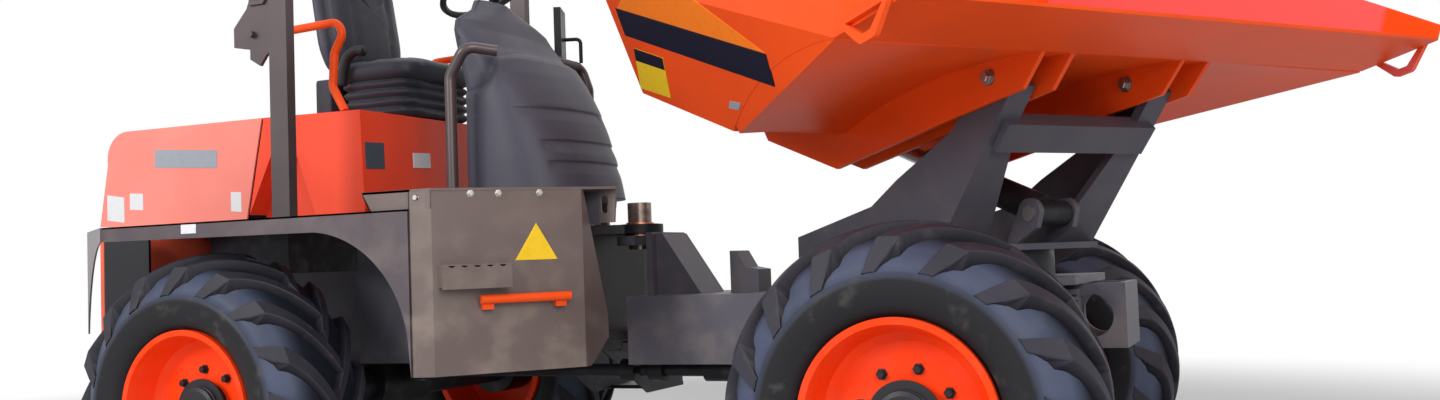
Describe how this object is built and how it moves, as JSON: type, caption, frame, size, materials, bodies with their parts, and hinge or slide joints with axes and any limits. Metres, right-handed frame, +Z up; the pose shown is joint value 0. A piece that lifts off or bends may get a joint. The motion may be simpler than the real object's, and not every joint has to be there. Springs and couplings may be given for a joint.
{
  "type": "articulated swivel-skip site dumper",
  "caption": "Articulated site dumper with a skip that swivels and tips, an open driver's seat under a folding roll-over hoop, and large lugged tyres.",
  "frame": {"origin": "on the ground under the middle of the rear axle", "axes": "+X forwards along the machine, +Y to its left, +Z up"},
  "size_m": [5.0879, 2.7129, 2.96],
  "materials": {
    "orange_steel": "gloss",
    "grey_steel": "satin",
    "black_steel": "satin",
    "bare_steel": "satin",
    "rubber": "matte",
    "rim_steel": "gloss",
    "moulded_plastic": "satin",
    "seat_vinyl": "satin"
  },
  "bodies": {
    "rear_chassis": {"rear_frame": "grey_steel", "rear_axle": "black_steel", "rear_shaft": "black_steel", "steer_pin": "bare_steel", "tow_hitch": "grey_steel", "wing_right": "grey_steel", "wing_left": "grey_steel", "side_box": "grey_steel", "lock_bar": "orange_steel", "access_step": "grey_steel", "deck": "grey_steel", "rear_panel": "orange_steel", "engine_block": "black_steel", "seat_pedestal": "orange_steel", "seat_suspension": "moulded_plastic", "seat_cushion": "seat_vinyl", "seat_back": "seat_vinyl", "seat_rails": "orange_steel", "grab_rails": "grey_steel", "mirror": "moulded_plastic", "console": "moulded_plastic", "rops_lower": "grey_steel"},
    "bonnet_body": {"bonnet": "orange_steel"},
    "rops_body": {"rops_upper": "grey_steel"},
    "steering_wheel_body": {"steering_wheel": "moulded_plastic"},
    "front_chassis": {"front_frame": "grey_steel", "front_axle": "black_steel", "front_shaft": "black_steel", "slew_ring": "black_steel"},
    "turret_body": {"turret": "grey_steel", "turret_pins": "bare_steel"},
    "skip_body": {"skip": "orange_steel", "lashing_loops": "orange_steel"},
    "barrel_body": {"tip_barrel": "black_steel"},
    "rod_body": {"tip_rod": "bare_steel"},
    "wheel_rear_right": {"tyre_rear_right": "rubber", "rim_rear_right": "rim_steel", "hub_rear_right": "black_steel"},
    "wheel_rear_left": {"tyre_rear_left": "rubber", "rim_rear_left": "rim_steel", "hub_rear_left": "black_steel"},
    "wheel_front_right": {"tyre_front_right": "rubber", "rim_front_right": "rim_steel", "hub_front_right": "black_steel"},
    "wheel_front_left": {"tyre_front_left": "rubber", "rim_front_left": "rim_steel", "hub_front_left": "black_steel"}
  },
  "joints": [
    {"name": "steer", "type": "hinge", "parent": "rear_chassis", "child": "front_chassis", "pos_m": [1.205, 0, 0.9], "axis": [0, 0, 1], "range_deg": [-33, 33]},
    {"name": "swivel", "type": "hinge", "parent": "front_chassis", "child": "turret_body", "pos_m": [2.459, 0, 0.93], "axis": [0, 0, -1], "range_deg": [-126.8, 53.2]},
    {"name": "tip", "type": "hinge", "parent": "turret_body", "child": "skip_body", "pos_m": [2.901, -0.33066, 1.492], "axis": [0.599, 0.8007, 0], "range_deg": [-12, 45]},
    {"name": "barrel_swing", "type": "hinge", "parent": "turret_body", "child": "barrel_body", "pos_m": [2.7873, -0.2456, 1.095], "axis": [0.599, 0.8007, 0], "range_deg": [-13, 41]},
    {"name": "rod_slide", "type": "slide", "parent": "barrel_body", "child": "rod_body", "axis": [-0.753, 0.5633, 0.3401], "range_m": [-0.09, 0.32]},
    {"name": "bonnet_hinge", "type": "hinge", "parent": "rear_chassis", "child": "bonnet_body", "pos_m": [-0.23, 0, 1.59], "axis": [0, 1, 0], "range_deg": [0, 45]},
    {"name": "rops_fold", "type": "hinge", "parent": "rear_chassis", "child": "rops_body", "pos_m": [0.095, 0, 2], "axis": [0, 1, 0], "range_deg": [-95, 0]},
    {"name": "steering_wheel_turn", "type": "hinge", "parent": "rear_chassis", "child": "steering_wheel_body", "pos_m": [0.545, 0, 2.125], "axis": [-0.5, 0, 0.866], "continuous": true},
    {"name": "roll_rear_right", "type": "hinge", "parent": "rear_chassis", "child": "wheel_rear_right", "pos_m": [0, -0.895, 0.539], "axis": [0, 1, 0], "continuous": true},
    {"name": "roll_rear_left", "type": "hinge", "parent": "rear_chassis", "child": "wheel_rear_left", "pos_m": [0, 0.895, 0.539], "axis": [0, 1, 0], "continuous": true},
    {"name": "roll_front_right", "type": "hinge", "parent": "front_chassis", "child": "wheel_front_right", "pos_m": [2.51, -0.895, 0.539], "axis": [0, 1, 0], "continuous": true},
    {"name": "roll_front_left", "type": "hinge", "parent": "front_chassis", "child": "wheel_front_left", "pos_m": [2.51, 0.895, 0.539], "axis": [0, 1, 0], "continuous": true}
  ],
  "couplings": [
    {"joint": "barrel_swing", "follows": "tip", "ratio": 0.88},
    {"joint": "rod_slide", "follows": "tip", "m_per_rad": 0.39}
  ]
}
